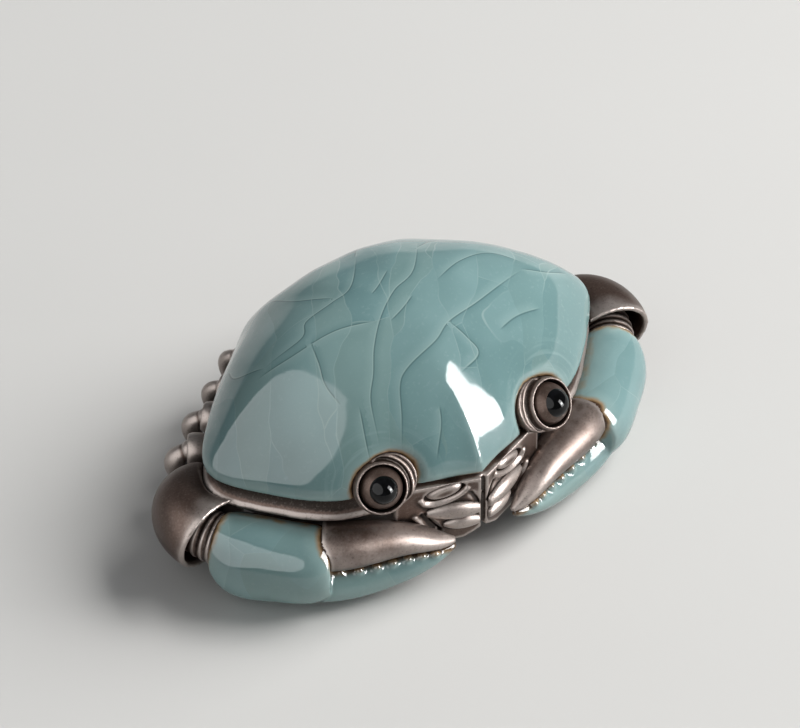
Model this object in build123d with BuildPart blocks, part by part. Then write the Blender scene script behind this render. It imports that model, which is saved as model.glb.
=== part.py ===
"""Crab ornament in fired clay: a hollow glazed shell on a hollow clay body, with luted limbs.

Millimetres, +Z up, the face looks along -Y. The origin is the middle of the flat foot.
Limbs are built for the +X side, which is the crab's own left, and mirrored.
"""
import os
from math import cos, hypot, radians, sin

from build123d import *

os.makedirs("parts", exist_ok=True)

# Plan outline of the shell's rim, from the beak round the +X side to the tail
BEAK_Y = -25.4
BROW_X = 8.0
BROW_Y = -21.7
ORBIT_X = 23.4
ORBIT_Y = -17.4
SHOULDER_X = 33.4
SHOULDER_Y = -8.4
CORNER_X = 38.3
CORNER_Y = -0.2
FLANK_X = 34.1
FLANK_Y = 7.3
HIP_X = 18.5
HIP_Y = 21.1
TAIL_Y = 25.3
MIDDLE_Y = 1.7
BEAK_SLOPE = 0.42

# Shell: the dome's levels are shares of the rim outline, and its outline grows rounder with height
RIM_Z = 21.7
DOME_RISE = 19.6
EDGE_DEPTH = 0.9
EDGE_ROUND = 0.35
EDGE_SHARES = (0.972, 0.996)
DOME_LEVELS = (0.995, 0.96, 0.88, 0.74, 0.55, 0.38, 0.24, 0.14, 0.07, 0.03)
HOLLOW_LEVELS = (0.93, 0.82, 0.66, 0.48, 0.32, 0.18, 0.08)
PLAN_FULLNESS = 2.04
SIDE_FULLNESS = 0.77
ROUNDING_RATE = 1.8
ROUNDEST = 0.94
WALL = 3.6

# Body: each level is a share of the rim outline at a share of the height up to the lip
BAND_HEIGHT = 4.7
BODY_LEVELS = ((0.56, 0.0), (0.70, 0.235), (0.85, 0.588), (0.945, 0.882), (0.965, 0.941))
LIP_ROOT = 1.3
LIP_ROOT_SHARE = 0.95
BAND_LEVELS = ((0.99, 0.0), (0.97, 0.16), (0.952, 0.42), (0.946, 0.7), (0.952, 1.0))
VENT_DIAMETER = 5.0
VENT_Y = -9.0

# Face: the heights on it are shares of the face's own height
FACE_FORWARD = 0.8
FACE_HALF_WIDTH = 14.5
FACE_SWEEP = 5.35
FACE_DEPTH = 6.0
FACE_HEIGHT = 15.0
FACE_TAPER = 0.9
CHIN_HALF_WIDTH = 9.6
CHIN_BEVEL = 0.9
CHIN_FLARE = 0.25
CHIN_NOTCH_SHARE = 0.2
CHIN_SLOPE = 0.71
GROOVE_WIDTH = 0.9
GROOVE_DEPTH = 0.9
LEAF_LENGTH = 7.4
LEAF_HEIGHT_SHARE = 0.213
LEAF_ALONG = 6.9
LEAF_DROP_SHARE = 0.127
LEAF_TILT = -15.0
LEAF_BED_DEPTH = 0.9
LEAF_WAIST = 0.3
LEAF_BED_SHARES = (0.92, 1.06)
LEAF_SHARES = (0.88, 0.8, 0.45)
LEAF_STAND = 0.25
UPPER_ROLL_SHARE = 0.573
UPPER_ROLL_LENGTH = 9.2
UPPER_ROLL_HALF_SHARE = 0.117
LOWER_ROLL_SHARE = 0.347
LOWER_ROLL_LENGTH = 6.3
LOWER_ROLL_HALF_SHARE = 0.097
ROLL_GAP = 0.05

# Rows of a mouth fold: share of its length, rise, half height and half depth in half heights
UPPER_ROLL_ROWS = (
    (0.0, -0.28, 0.6, 0.45),
    (0.3, -0.11, 1.0, 0.8),
    (0.7, 0.0, 0.9, 0.75),
    (1.0, 0.06, 0.4, 0.35),
)
LOWER_ROLL_ROWS = (
    (0.0, -0.07, 0.6, 0.5),
    (0.35, 0.0, 1.0, 0.8),
    (0.75, 0.0, 0.8, 0.7),
    (1.0, 0.0, 0.3, 0.3),
)

# Eyes
EYE_SHARE = 0.182
EYE_OUT = 0.3
EYE_RISE = 1.4
EYEBALL_RADIUS = 3.7
BOWL_GAP = 0.35
BALL_SEAT = 0.15
SOCKET_WALL = 0.6
SOCKET_EDGE = 1.7
FOLD_SHIFT = 1.9
FOLD_DROP = 1.0
PUPIL_RADIUS = 2.6
PUPIL_OUT = 1.85
BALL_OUT = 0.1
EYE_AZIMUTH = 19.0
EYE_PITCH = 38.0

# Claws
PALM_HALF_WIDTH = 6.9
PALM_HALF_HEIGHT = 7.7
PALM_CLEAR = 0.9
PALM_OUT = 2.8
FINGER_HALF = 4.3
FINGER_RISE = 2.8
LOWER_FINGER_HALF = 3.7
LOWER_FINGER_DROP = 3.9
TOOTH_RADIUS = 0.9
TOOTH_COUNT = 7
HOOD_SIDE = 0.55
HOOD_TOP = 1.2
HOOD_SHARE = 0.46
HOOD_LEAN = (-0.22, -1, -0.08)
LIP_CLEAR = 0.3
RIB_HEIGHT = 0.3
RIB_STEPS = 19

# Rows of a claw piece: share of the half rim, then shift outward, rise, width and height in half sizes
PALM_ROWS = (
    (0.452, 0.087, 0.33, 0.66, 0.64),
    (0.44, 0.087, 0.12, 0.88, 0.87),
    (0.42, 0.08, 0.03, 0.98, 0.97),
    (0.385, 0.058, 0.0, 1.0, 1.0),
    (0.33, 0.0, -0.013, 0.97, 0.95),
    (0.287, -0.043, -0.013, 0.9, 0.88),
    (0.272, -0.058, -0.013, 0.78, 0.76),
)
LOWER_FINGER_ROWS = (
    (0.315, -0.027, 0.46, 1.35, 1.25),
    (0.272, 0.0, 0.135, 1.12, 1.05),
    (0.22, 0.0, 0.0, 0.92, 0.93),
    (0.16, 0.216, 0.216, 0.74, 0.78),
    (0.11, 0.378, 0.486, 0.54, 0.55),
    (0.072, 0.324, 0.703, 0.34, 0.33),
    (0.05, 0.19, 0.865, 0.15, 0.15),
)
FINGER_ROWS = (
    (0.284, -0.302, 0.105, 1.0, 0.895),
    (0.22, -0.233, 0.14, 0.97, 0.83),
    (0.16, -0.047, 0.07, 0.79, 0.67),
    (0.11, 0.14, -0.174, 0.58, 0.495),
    (0.072, 0.163, -0.465, 0.33, 0.3),
    (0.05, 0.07, -0.605, 0.14, 0.12),
)
ELBOW_ROWS = (
    (0.572, -0.322, 0.337, 0.443, 0.5),
    (0.543, -0.107, 0.3, 0.726, 0.7),
    (0.502, 0.09, 0.37, 0.83, 0.76),
    (0.462, 0.15, 0.42, 0.93, 0.75),
    (0.405, 0.11, 0.44, 1.0, 0.73),
)
MOUTH_ROWS = (
    (0.525, 0.087, 0.4, 0.66, 0.58),
    (0.48, 0.13, 0.46, 0.84, 0.74),
    (0.41, 0.11, 0.49, 0.98, 0.73),
)
WRIST_ENDS = (
    (0.53, 0.1, 0.4, 0.56, 0.48),
    (0.45, 0.1, 0.35, 0.61, 0.55),
)
FIRST_TOOTH = (0.258, 0.324, 0.865)
LAST_TOOTH = (0.095, 0.649, 0.946)

# Walking legs, from the front pair to the rear pair
LEG_SHARES = (0.622, 0.70, 0.775, 0.845)
LEG_REACH = (2.9, 2.3, 1.7, 2.0)
LEG_ANGLES = (34.0, 45.0, 56.0, 67.0)
LEG_CUP_RADII = (3.0, 2.75, 2.5, 2.5)
LEG_Z = 13.0
LEG_LENGTH = 15.0
LEG_ROOT_RADIUS = 1.7
LEG_ROOT_DROP = 2.0
THIGH_BACK = 0.4
THIGH_DROP = 0.3
THIGH_SWELL = 1.1
CUP_WALL = 0.85
CUP_LIP = 0.9
CUP_BACK = 0.8
CUP_BACK_SIZE = 0.9
CUP_MOUTH_SIZE = 0.88
BALL_GAP = 0.3
SHIN_BOW = 2.6
SHIN_START = 0.08
SHIN_DROP = 0.185
SHIN_TUCK = 3.0
CALF_BACK = 0.6
CALF_DROP = 0.54
LEG_TIP_Z = 0.9

# Lower leg, from its head to its tip: outward lean of a section and its size
NECK_LEAN, NECK_SIZE = 1.8, 0.7
SHIN_LEAN, SHIN_SIZE = 0.2, 1.05
CALF_LEAN, CALF_SIZE = -0.35, 0.9
TIP_LEAN, TIP_SIZE = -0.9, 0.7

# Apron under the tail
APRON_LENGTH = 15.0
APRON_HALF_WIDTH = 7.0
APRON_DEPTH = 1.4
APRON_STAND = 0.4
APRON_GAP = 0.2
APRON_Y = 2.0
APRON_WIDEST = 0.7
APRON_SLOPE = 0.3
APRON_FOLDS = (0.35, 0.52, 0.69, 0.84)
APRON_FOLD_WIDTH = 0.4
APRON_FOLD_DEPTH = 0.25

SEAT_Z = RIM_Z - EDGE_DEPTH
LIP_Z = RIM_Z - BAND_HEIGHT
WALL_SHARE = WALL / CORNER_X
PALM_Z = PALM_CLEAR + PALM_HALF_HEIGHT
RIM_POINTS = [
    (0, BEAK_Y),
    (BROW_X, BROW_Y),
    (ORBIT_X, ORBIT_Y),
    (SHOULDER_X, SHOULDER_Y),
    (CORNER_X, CORNER_Y),
    (FLANK_X, FLANK_Y),
    (HIP_X, HIP_Y),
    (0, TAIL_Y),
]
rim = Spline(*RIM_POINTS, tangents=[(1, BEAK_SLOPE), (-1, 0)])


def between(first, last, share):
    """A value part of the way from one value to another."""
    return first + (last - first) * share


def rounded(x, y, blend):
    """A rim point moved part of the way to the oval that has the rim's width and length."""
    depth = TAIL_Y - MIDDLE_Y if y > MIDDLE_Y else MIDDLE_Y - BEAK_Y
    stretch = 1 / hypot(x / CORNER_X, (y - MIDDLE_Y) / depth)
    swell = 1 + (stretch - 1) * blend
    return x * swell, MIDDLE_Y + (y - MIDDLE_Y) * swell


def rim_sketch(share, height, blend=0.0):
    """The shell's plan outline at a share of its full size, more or less rounded."""
    points = []
    for x, y in RIM_POINTS:
        round_x, round_y = rounded(x, y, blend)
        points.append((round_x * share, MIDDLE_Y + (round_y - MIDDLE_Y) * share))
    with BuildSketch(Plane.XY.offset(height)) as outline:
        with BuildLine():
            half = Spline(*points, tangents=[(1, BEAK_SLOPE * (1 - blend)), (-1, 0)])
            mirror(half, about=Plane.YZ)
        make_face()
    return outline.sketch


def dome_sketch(share, rise, size=1.0):
    """A level of a dome over the rim."""
    height = RIM_Z + rise * (1 - share**PLAN_FULLNESS) ** SIDE_FULLNESS
    return rim_sketch(share * size, height, min(ROUNDEST, (1 - share) * ROUNDING_RATE))


def outward_at(share):
    """Level direction square to the rim, away from the shell."""
    along = rim % share
    return Vector(along.Y, -along.X, 0)


def beside_rim(share, out, height):
    """A point at a share of the half rim, moved outward from it, at a height."""
    point = rim @ share + outward_at(share) * out
    return Vector(point.X, point.Y, height)


def limb_oval(share, out, height, half_width, half_height):
    """Oval section of a claw, square to the rim."""
    plane = Plane(beside_rim(share, out, height), x_dir=outward_at(share), z_dir=-(rim % share))
    with BuildSketch(plane) as oval:
        Ellipse(half_width, half_height)
    return oval.sketch


def limb_sections(rows, height, half_width, half_height):
    """Oval sections of a claw piece, whose middle runs beside the rim at a height."""
    sections = []
    for share, shift, rise, width, tall in rows:
        out = PALM_OUT + shift * half_width
        middle = height + rise * half_height
        sections.append(limb_oval(share, out, middle, half_width * width, half_height * tall))
    return sections


def round_section(point, direction, radius):
    """Round section of a leg."""
    with BuildSketch(Plane(point, z_dir=direction)) as circle:
        Circle(radius)
    return circle.sketch


def apron_sketch(height, gap):
    """Shield outline of the tail flap, smaller all round by a gap."""
    with BuildSketch(Plane.XY.offset(height)) as shield:
        with BuildLine():
            edge = Spline(
                (0, APRON_Y + gap),
                (APRON_HALF_WIDTH - gap, APRON_Y + APRON_LENGTH * APRON_WIDEST),
                (0, APRON_Y + APRON_LENGTH - gap),
                tangents=[(1, APRON_SLOPE), (-1, 0)],
            )
            mirror(edge, about=Plane.YZ)
        make_face()
    return shield.sketch


def save(piece, name):
    """Label a piece and write its file."""
    piece.label = name
    export_step(piece, f"parts/{name}.step")


def save_pair(piece, stem, tail=""):
    """Write a piece of the +X side and its mirrored twin."""
    twin = Part(mirror(piece, about=Plane.YZ).wrapped)
    save(piece, f"{stem}_left{tail}")
    save(twin, f"{stem}_right{tail}")


# The hollow inside the body and the shell, one wall in from both
with BuildPart() as hollow:
    loft(
        [rim_sketch(share - WALL_SHARE, between(WALL, LIP_Z, level)) for share, level in BODY_LEVELS[:-1]]
        + [rim_sketch(BODY_LEVELS[-1][0] - WALL_SHARE, SEAT_Z)]
        + [dome_sketch(share, DOME_RISE - WALL, 1 - WALL_SHARE) for share in HOLLOW_LEVELS]
    )

# Eye sockets: a ball with a bowl in it and a second, lower fold on the nose side
BOWL_RADIUS = EYEBALL_RADIUS + BOWL_GAP
SOCKET_RADIUS = BOWL_RADIUS + SOCKET_WALL
eye_direction = Vector(
    sin(radians(EYE_AZIMUTH)) * cos(radians(EYE_PITCH)),
    -cos(radians(EYE_AZIMUTH)) * cos(radians(EYE_PITCH)),
    sin(radians(EYE_PITCH)),
)
nose_side = Vector(-eye_direction.Z, 0, eye_direction.X).normalized()
eye_centre = beside_rim(EYE_SHARE, EYE_OUT, RIM_Z + EYE_RISE)
fold_centre = eye_centre + nose_side * FOLD_SHIFT
ball_centre = eye_centre + eye_direction * BALL_OUT
bowl_centre = ball_centre + eye_direction * (BOWL_GAP - BALL_SEAT)
socket_rim = Plane(eye_centre + eye_direction * SOCKET_EDGE, z_dir=eye_direction)

with BuildPart() as socket_fold:
    with Locations(fold_centre):
        Sphere(SOCKET_RADIUS)
    split(bisect_by=socket_rim.offset(-FOLD_DROP), keep=Keep.BOTTOM)

with BuildPart() as eye_socket:
    with Locations(eye_centre):
        Sphere(SOCKET_RADIUS)
    split(bisect_by=socket_rim, keep=Keep.BOTTOM)
    add(socket_fold.part)
    with Locations(bowl_centre):
        Sphere(BOWL_RADIUS, mode=Mode.SUBTRACT)
    with BuildSketch(Plane(bowl_centre, z_dir=eye_direction)):
        Circle(BOWL_RADIUS)
    extrude(amount=SOCKET_RADIUS, mode=Mode.SUBTRACT)

with BuildPart() as pupil:
    with Locations(ball_centre + eye_direction * PUPIL_OUT):
        Sphere(PUPIL_RADIUS)

with BuildPart() as eyeball:
    with Locations(ball_centre):
        Sphere(EYEBALL_RADIUS)
    add(pupil.part, mode=Mode.SUBTRACT)
    add(eye_socket.part, mode=Mode.SUBTRACT)

# Seats that the two socket balls take out of their neighbours
with BuildPart() as socket_seats:
    with Locations(eye_centre, fold_centre):
        Sphere(SOCKET_RADIUS)
    mirror(about=Plane.YZ)

# Carapace, with a bevelled and a rounded edge below the dome
with BuildPart() as carapace:
    loft(
        [rim_sketch(EDGE_SHARES[0], SEAT_Z)]
        + [rim_sketch(EDGE_SHARES[1], RIM_Z - EDGE_ROUND)]
        + [dome_sketch(share, DOME_RISE) for share in DOME_LEVELS]
    )
    add(hollow.part, mode=Mode.SUBTRACT)
    add(socket_seats.part, mode=Mode.SUBTRACT)

# Underbody: a bowl, the concave band with the lip, the foot, the vent and the apron's bed
with BuildPart() as underbody:
    loft([rim_sketch(share, LIP_Z * level) for share, level in BODY_LEVELS])
    loft(
        [rim_sketch(LIP_ROOT_SHARE, LIP_Z - LIP_ROOT)]
        + [rim_sketch(share, between(LIP_Z, SEAT_Z, level)) for share, level in BAND_LEVELS]
    )
    add(hollow.part, mode=Mode.SUBTRACT)
    add(socket_seats.part, mode=Mode.SUBTRACT)
    with Locations((0, VENT_Y, WALL / 2)):
        Cylinder(VENT_DIAMETER / 2, WALL * 2, mode=Mode.SUBTRACT)
    extrude(apron_sketch(0, 0), amount=APRON_DEPTH, dir=(0, 0, 1), mode=Mode.SUBTRACT)

with BuildPart() as belly_apron:
    extrude(apron_sketch(APRON_STAND, APRON_GAP), amount=APRON_DEPTH - APRON_STAND, dir=(0, 0, 1))
    with Locations(*[(0, APRON_Y + APRON_LENGTH * share, APRON_STAND) for share in APRON_FOLDS]):
        Box(APRON_HALF_WIDTH * 2, APRON_FOLD_WIDTH, APRON_FOLD_DEPTH * 2, mode=Mode.SUBTRACT)

# Face plate: two planes that meet at the groove, with a bed for each leaf and a notch in the chin
FACE_Y = BEAK_Y - FACE_FORWARD
CHIN_Z = SEAT_Z - FACE_HEIGHT
LEAF_Z = SEAT_Z - FACE_HEIGHT * LEAF_DROP_SHARE
LEAF_HEIGHT = FACE_HEIGHT * LEAF_HEIGHT_SHARE
UPPER_ROLL_Z = CHIN_Z + FACE_HEIGHT * UPPER_ROLL_SHARE
UPPER_ROLL_HALF = FACE_HEIGHT * UPPER_ROLL_HALF_SHARE
LOWER_ROLL_Z = CHIN_Z + FACE_HEIGHT * LOWER_ROLL_SHARE
LOWER_ROLL_HALF = FACE_HEIGHT * LOWER_ROLL_HALF_SHARE
notch_top = CHIN_Z + FACE_HEIGHT * CHIN_NOTCH_SHARE
face_along = Vector(FACE_HALF_WIDTH, FACE_SWEEP, 0).normalized()
face_out = Vector(face_along.Y, -face_along.X, 0)
face_plane = Plane((0, FACE_Y, 0), x_dir=face_along, z_dir=face_out)
roll_start = (GROOVE_WIDTH / 2 + ROLL_GAP + UPPER_ROLL_HALF / 2 * face_out.X) / face_along.X


def face_sketch(half_width, height, back=0.0):
    """Plan of the face plate at a height, set back from the front."""
    front = FACE_Y + back
    side = front + half_width * FACE_SWEEP / FACE_HALF_WIDTH
    with BuildSketch(Plane.XY.offset(height)) as plan:
        Polygon(
            (0, front),
            (half_width, side),
            (half_width * FACE_TAPER, side + FACE_DEPTH),
            (-half_width * FACE_TAPER, side + FACE_DEPTH),
            (-half_width, side),
            align=None,
        )
    return plan.sketch


def leaf_sketch(depth, share):
    """A leaf outline, lying in the face plane at a depth behind it."""
    with BuildSketch(face_plane.offset(-depth)) as leaf:
        with Locations(Location((LEAF_ALONG, LEAF_Z, 0), (0, 0, LEAF_TILT))):
            Ellipse(LEAF_LENGTH / 2 * share, LEAF_HEIGHT / 2 * share)
    return leaf.sketch


def roll_sections(rows, height, length, half):
    """Oval sections of a mouth fold, square to the face."""
    sections = []
    for share, rise, tall, deep in rows:
        foot = face_plane.from_local_coords(Vector(roll_start + length * share, height + rise * half, 0))
        with BuildSketch(Plane(foot, x_dir=face_out, z_dir=face_along)) as oval:
            Ellipse(half * deep, half * tall)
        sections.append(oval.sketch)
    return sections


with BuildPart() as leaf_beds:
    loft([leaf_sketch(LEAF_BED_DEPTH, LEAF_BED_SHARES[0]), leaf_sketch(-LEAF_STAND, LEAF_BED_SHARES[1])])
    mirror(about=Plane.YZ)

with BuildPart() as face_plate:
    loft(
        [
            face_sketch(CHIN_HALF_WIDTH, CHIN_Z, CHIN_BEVEL),
            face_sketch(between(CHIN_HALF_WIDTH, FACE_HALF_WIDTH, CHIN_FLARE), CHIN_Z + CHIN_BEVEL),
            face_sketch(FACE_HALF_WIDTH, UPPER_ROLL_Z),
            face_sketch(FACE_HALF_WIDTH, SEAT_Z),
        ],
        ruled=True,
    )
    add(underbody.part, mode=Mode.SUBTRACT)
    add(hollow.part, mode=Mode.SUBTRACT)
    add(socket_seats.part, mode=Mode.SUBTRACT)
    add(leaf_beds.part, mode=Mode.SUBTRACT)
    with Locations((0, FACE_Y, (CHIN_Z + SEAT_Z) / 2)):
        Box(GROOVE_WIDTH, GROOVE_DEPTH * 2, SEAT_Z, mode=Mode.SUBTRACT)
    with BuildSketch(Plane.XZ.offset(-FACE_Y)):
        Polygon((0, notch_top), (notch_top / CHIN_SLOPE, 0), (-notch_top / CHIN_SLOPE, 0), align=None)
    extrude(amount=FACE_DEPTH, both=True, mode=Mode.SUBTRACT)

with BuildPart() as antennule:
    leaf_depths = (LEAF_BED_DEPTH, LEAF_WAIST, -LEAF_STAND)
    loft([leaf_sketch(depth, share) for depth, share in zip(leaf_depths, LEAF_SHARES)])

with BuildPart() as upper_mouthpart:
    loft(roll_sections(UPPER_ROLL_ROWS, UPPER_ROLL_Z, UPPER_ROLL_LENGTH, UPPER_ROLL_HALF))
    add(face_plate.part, mode=Mode.SUBTRACT)

with BuildPart() as lower_mouthpart:
    loft(roll_sections(LOWER_ROLL_ROWS, LOWER_ROLL_Z, LOWER_ROLL_LENGTH, LOWER_ROLL_HALF))
    add(face_plate.part, mode=Mode.SUBTRACT)
    add(upper_mouthpart.part, mode=Mode.SUBTRACT)

# Claw palm with the fixed finger and its teeth
LOWER_FINGER_Z = PALM_Z - LOWER_FINGER_DROP
with BuildPart() as claw_palm:
    loft(limb_sections(PALM_ROWS, PALM_Z, PALM_HALF_WIDTH, PALM_HALF_HEIGHT))
    loft(limb_sections(LOWER_FINGER_ROWS, LOWER_FINGER_Z, LOWER_FINGER_HALF, LOWER_FINGER_HALF))
    for step in range(TOOTH_COUNT):
        share, shift, rise = [
            between(first, last, step / (TOOTH_COUNT - 1)) for first, last in zip(FIRST_TOOTH, LAST_TOOTH)
        ]
        tooth_out = PALM_OUT + shift * LOWER_FINGER_HALF
        with Locations(beside_rim(share, tooth_out, LOWER_FINGER_Z + rise * LOWER_FINGER_HALF)):
            Sphere(TOOTH_RADIUS)
    add(underbody.part, mode=Mode.SUBTRACT)
    add(hollow.part, mode=Mode.SUBTRACT)
    add(face_plate.part, mode=Mode.SUBTRACT)

with BuildPart() as claw_finger:
    loft(limb_sections(FINGER_ROWS, PALM_Z + FINGER_RISE, FINGER_HALF, FINGER_HALF))
    add(underbody.part, mode=Mode.SUBTRACT)
    add(hollow.part, mode=Mode.SUBTRACT)
    add(face_plate.part, mode=Mode.SUBTRACT)
    add(claw_palm.part, mode=Mode.SUBTRACT)

# Room over the elbow for the body's lip
with BuildPart() as lip_room:
    extrude(rim_sketch(1.0, LIP_Z - LIP_CLEAR), amount=BAND_HEIGHT + LIP_CLEAR, dir=(0, 0, 1))

# Claw elbow: a hood over the wrist, open towards the palm
with BuildPart() as claw_elbow:
    loft(limb_sections(ELBOW_ROWS, PALM_Z, PALM_HALF_WIDTH + HOOD_SIDE, PALM_HALF_HEIGHT + HOOD_TOP))
    split(bisect_by=Plane(beside_rim(HOOD_SHARE, 0, 0), z_dir=HOOD_LEAN), keep=Keep.BOTTOM)
    loft(limb_sections(MOUTH_ROWS, PALM_Z, PALM_HALF_WIDTH, PALM_HALF_HEIGHT), mode=Mode.SUBTRACT)
    add(underbody.part, mode=Mode.SUBTRACT)
    add(lip_room.part, mode=Mode.SUBTRACT)
    add(hollow.part, mode=Mode.SUBTRACT)
    add(claw_palm.part, mode=Mode.SUBTRACT)

# Ribbed wrist, from the end of the hood's mouth to the rear of the palm
wrist_sections = []
for step in range(RIB_STEPS):
    share, shift, rise, width, tall = [
        between(first, last, step / (RIB_STEPS - 1)) for first, last in zip(*WRIST_ENDS)
    ]
    rib = RIB_HEIGHT * (step % 2)
    wrist_sections.append(
        limb_oval(
            share,
            PALM_OUT + shift * PALM_HALF_WIDTH,
            PALM_Z + rise * PALM_HALF_HEIGHT,
            PALM_HALF_WIDTH * width + rib,
            PALM_HALF_HEIGHT * tall + rib,
        )
    )
with BuildPart() as claw_wrist:
    loft(wrist_sections, ruled=True)
    add(claw_palm.part, mode=Mode.SUBTRACT)
    add(claw_elbow.part, mode=Mode.SUBTRACT)
    add(underbody.part, mode=Mode.SUBTRACT)

save(carapace.part, "carapace")
save(underbody.part, "underbody")
save(belly_apron.part, "belly_apron")
save(face_plate.part, "face_plate")
save_pair(antennule.part, "antennule")
save_pair(upper_mouthpart.part, "upper_mouthpart")
save_pair(lower_mouthpart.part, "lower_mouthpart")
save_pair(eye_socket.part, "eye_socket")
save_pair(eyeball.part, "eyeball")
save_pair(pupil.part, "pupil")
save_pair(claw_palm.part, "claw_palm")
save_pair(claw_finger.part, "claw_finger")
save_pair(claw_elbow.part, "claw_elbow")
save_pair(claw_wrist.part, "claw_wrist")

# Walking legs: an upper leg that ends in a cup, and a lower leg with its ball head in the cup
down = Vector(0, 0, -1)
for index in range(len(LEG_SHARES)):
    heading = Vector(cos(radians(LEG_ANGLES[index])), sin(radians(LEG_ANGLES[index])), 0)
    knee = beside_rim(LEG_SHARES[index], LEG_REACH[index], LEG_Z)
    cup_radius = LEG_CUP_RADII[index]
    ball_radius = cup_radius - CUP_WALL - BALL_GAP
    root = knee - heading * LEG_LENGTH + down * LEG_ROOT_DROP
    thigh = knee - heading * LEG_LENGTH * THIGH_BACK + down * LEG_ROOT_DROP * THIGH_DROP
    head = knee + heading * BALL_GAP
    bow = head + heading * SHIN_BOW
    neck = between(head, bow, SHIN_START)
    shin = bow + down * LEG_Z * SHIN_DROP
    calf = between(head, bow, CALF_BACK) + down * LEG_Z * CALF_DROP
    tip = Vector(head.X, head.Y, LEG_TIP_Z) - heading * SHIN_TUCK

    with BuildPart() as upper_leg:
        loft(
            [
                round_section(root, heading, LEG_ROOT_RADIUS),
                round_section(thigh, heading, LEG_ROOT_RADIUS * THIGH_SWELL),
                round_section(knee - heading * cup_radius * CUP_BACK, heading, cup_radius * CUP_BACK_SIZE),
                round_section(knee, heading, cup_radius),
                round_section(knee + heading * CUP_LIP, heading, cup_radius * CUP_MOUTH_SIZE),
            ]
        )
        with Locations(knee + heading * CUP_LIP):
            Sphere(cup_radius - CUP_WALL, mode=Mode.SUBTRACT)
        add(underbody.part, mode=Mode.SUBTRACT)
        add(hollow.part, mode=Mode.SUBTRACT)

    with BuildPart() as lower_leg:
        with Locations(head):
            Sphere(ball_radius)
        loft(
            [
                round_section(neck, heading * NECK_LEAN + down, ball_radius * NECK_SIZE),
                round_section(shin, heading * SHIN_LEAN + down, ball_radius * SHIN_SIZE),
                round_section(calf, heading * CALF_LEAN + down, ball_radius * CALF_SIZE),
                round_section(tip, heading * TIP_LEAN + down, LEG_TIP_Z * TIP_SIZE),
            ]
        )
        add(upper_leg.part, mode=Mode.SUBTRACT)

    save_pair(upper_leg.part, "upper_leg", f"_{index + 1}")
    save_pair(lower_leg.part, "lower_leg", f"_{index + 1}")
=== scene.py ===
"""Crab ornament: crackled celadon shell and claws, bronze clay body and limbs, in a plain studio.

The scene is in metres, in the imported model's frame: +Z up, the face looks along -Y, +X is the crab's own
left. A size in mm has a comment that says so, or is turned into metres by MM.
"""
import math
from functools import lru_cache

import bmesh
import bpy
import numpy as np
from mathutils import Matrix, Vector
from mathutils.bvhtree import BVHTree


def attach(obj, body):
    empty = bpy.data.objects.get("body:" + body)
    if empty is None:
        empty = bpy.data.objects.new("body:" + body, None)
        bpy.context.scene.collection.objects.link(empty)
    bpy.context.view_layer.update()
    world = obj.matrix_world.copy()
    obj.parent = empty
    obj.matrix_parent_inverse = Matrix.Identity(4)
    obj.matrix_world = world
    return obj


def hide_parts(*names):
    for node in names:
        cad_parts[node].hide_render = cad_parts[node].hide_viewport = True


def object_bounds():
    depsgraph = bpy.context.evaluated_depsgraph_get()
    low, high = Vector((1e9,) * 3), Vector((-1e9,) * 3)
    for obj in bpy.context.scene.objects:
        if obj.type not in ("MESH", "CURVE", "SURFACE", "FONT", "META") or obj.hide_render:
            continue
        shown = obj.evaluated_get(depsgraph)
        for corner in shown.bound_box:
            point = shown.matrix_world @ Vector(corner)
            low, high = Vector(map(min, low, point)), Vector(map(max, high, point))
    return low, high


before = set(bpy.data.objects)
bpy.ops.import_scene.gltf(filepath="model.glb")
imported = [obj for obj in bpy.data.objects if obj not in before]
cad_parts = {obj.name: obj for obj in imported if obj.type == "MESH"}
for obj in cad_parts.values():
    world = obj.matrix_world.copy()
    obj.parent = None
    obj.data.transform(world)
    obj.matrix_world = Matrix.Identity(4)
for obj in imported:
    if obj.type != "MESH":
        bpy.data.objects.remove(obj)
cad_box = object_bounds()

MM = 0.001

# Photograph's view: the camera looks at a point between the eyes
VIEW_AZIMUTH = math.radians(-33.67)
VIEW_ELEVATION = math.radians(48.0)
VIEW_TARGET = Vector((0.0, -20.5, 23.0)) * MM
VIEW_DISTANCE = 900 * MM
VIEW_LEFT = 11 * MM
VIEW_RAISE = 14 * MM
LENS = 243.0
SENSOR = 36.0

# Each clay or glaze piece is reworked from its CAD node: voxel in mm, rounds of softening
WORK = {
    "carapace": (0.46, 9),
    "underbody": (0.42, 4),
    "belly_apron": (0.28, 3),
    "face_plate": (0.21, 3),
    "antennule": (0.15, 3),
    "upper_mouthpart": (0.15, 3),
    "lower_mouthpart": (0.15, 3),
    "eye_socket": (0.19, 3),
    "claw_palm": (0.29, 4),
    "claw_finger": (0.23, 4),
    "claw_elbow": (0.29, 8),
    "claw_wrist": (0.17, 2),
    "upper_leg": (0.21, 3),
    "lower_leg": (0.21, 3),
}
GLAZED = ("carapace", "claw_palm")
KEPT = ("eyeball", "pupil")
WELD = 0.001 * MM
SOFTEN_SHARE = 0.5
PATH_STEPS = 6


def stem_of(node):
    """Name of a node without its side and number."""
    return node.split("_left")[0].split("_right")[0]


# Mesh work


def points_of(mesh):
    """Vertex places of a mesh, one row each."""
    flat = np.empty(len(mesh.vertices) * 3)
    mesh.vertices.foreach_get("co", flat)
    return flat.reshape(-1, 3)


def normals_of(mesh):
    """Vertex normals of a mesh, one row each."""
    flat = np.empty(len(mesh.vertices) * 3)
    mesh.vertices.foreach_get("normal", flat)
    return flat.reshape(-1, 3)


def move_points(mesh, points):
    """Puts the vertices of a mesh at new places."""
    mesh.vertices.foreach_set("co", points.ravel())
    mesh.update()


def write_attribute(mesh, name, values):
    """Stores one number for each vertex."""
    attribute = mesh.attributes.new(name, "FLOAT", "POINT")
    attribute.data.foreach_set("value", values.astype(np.float32))


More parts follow.
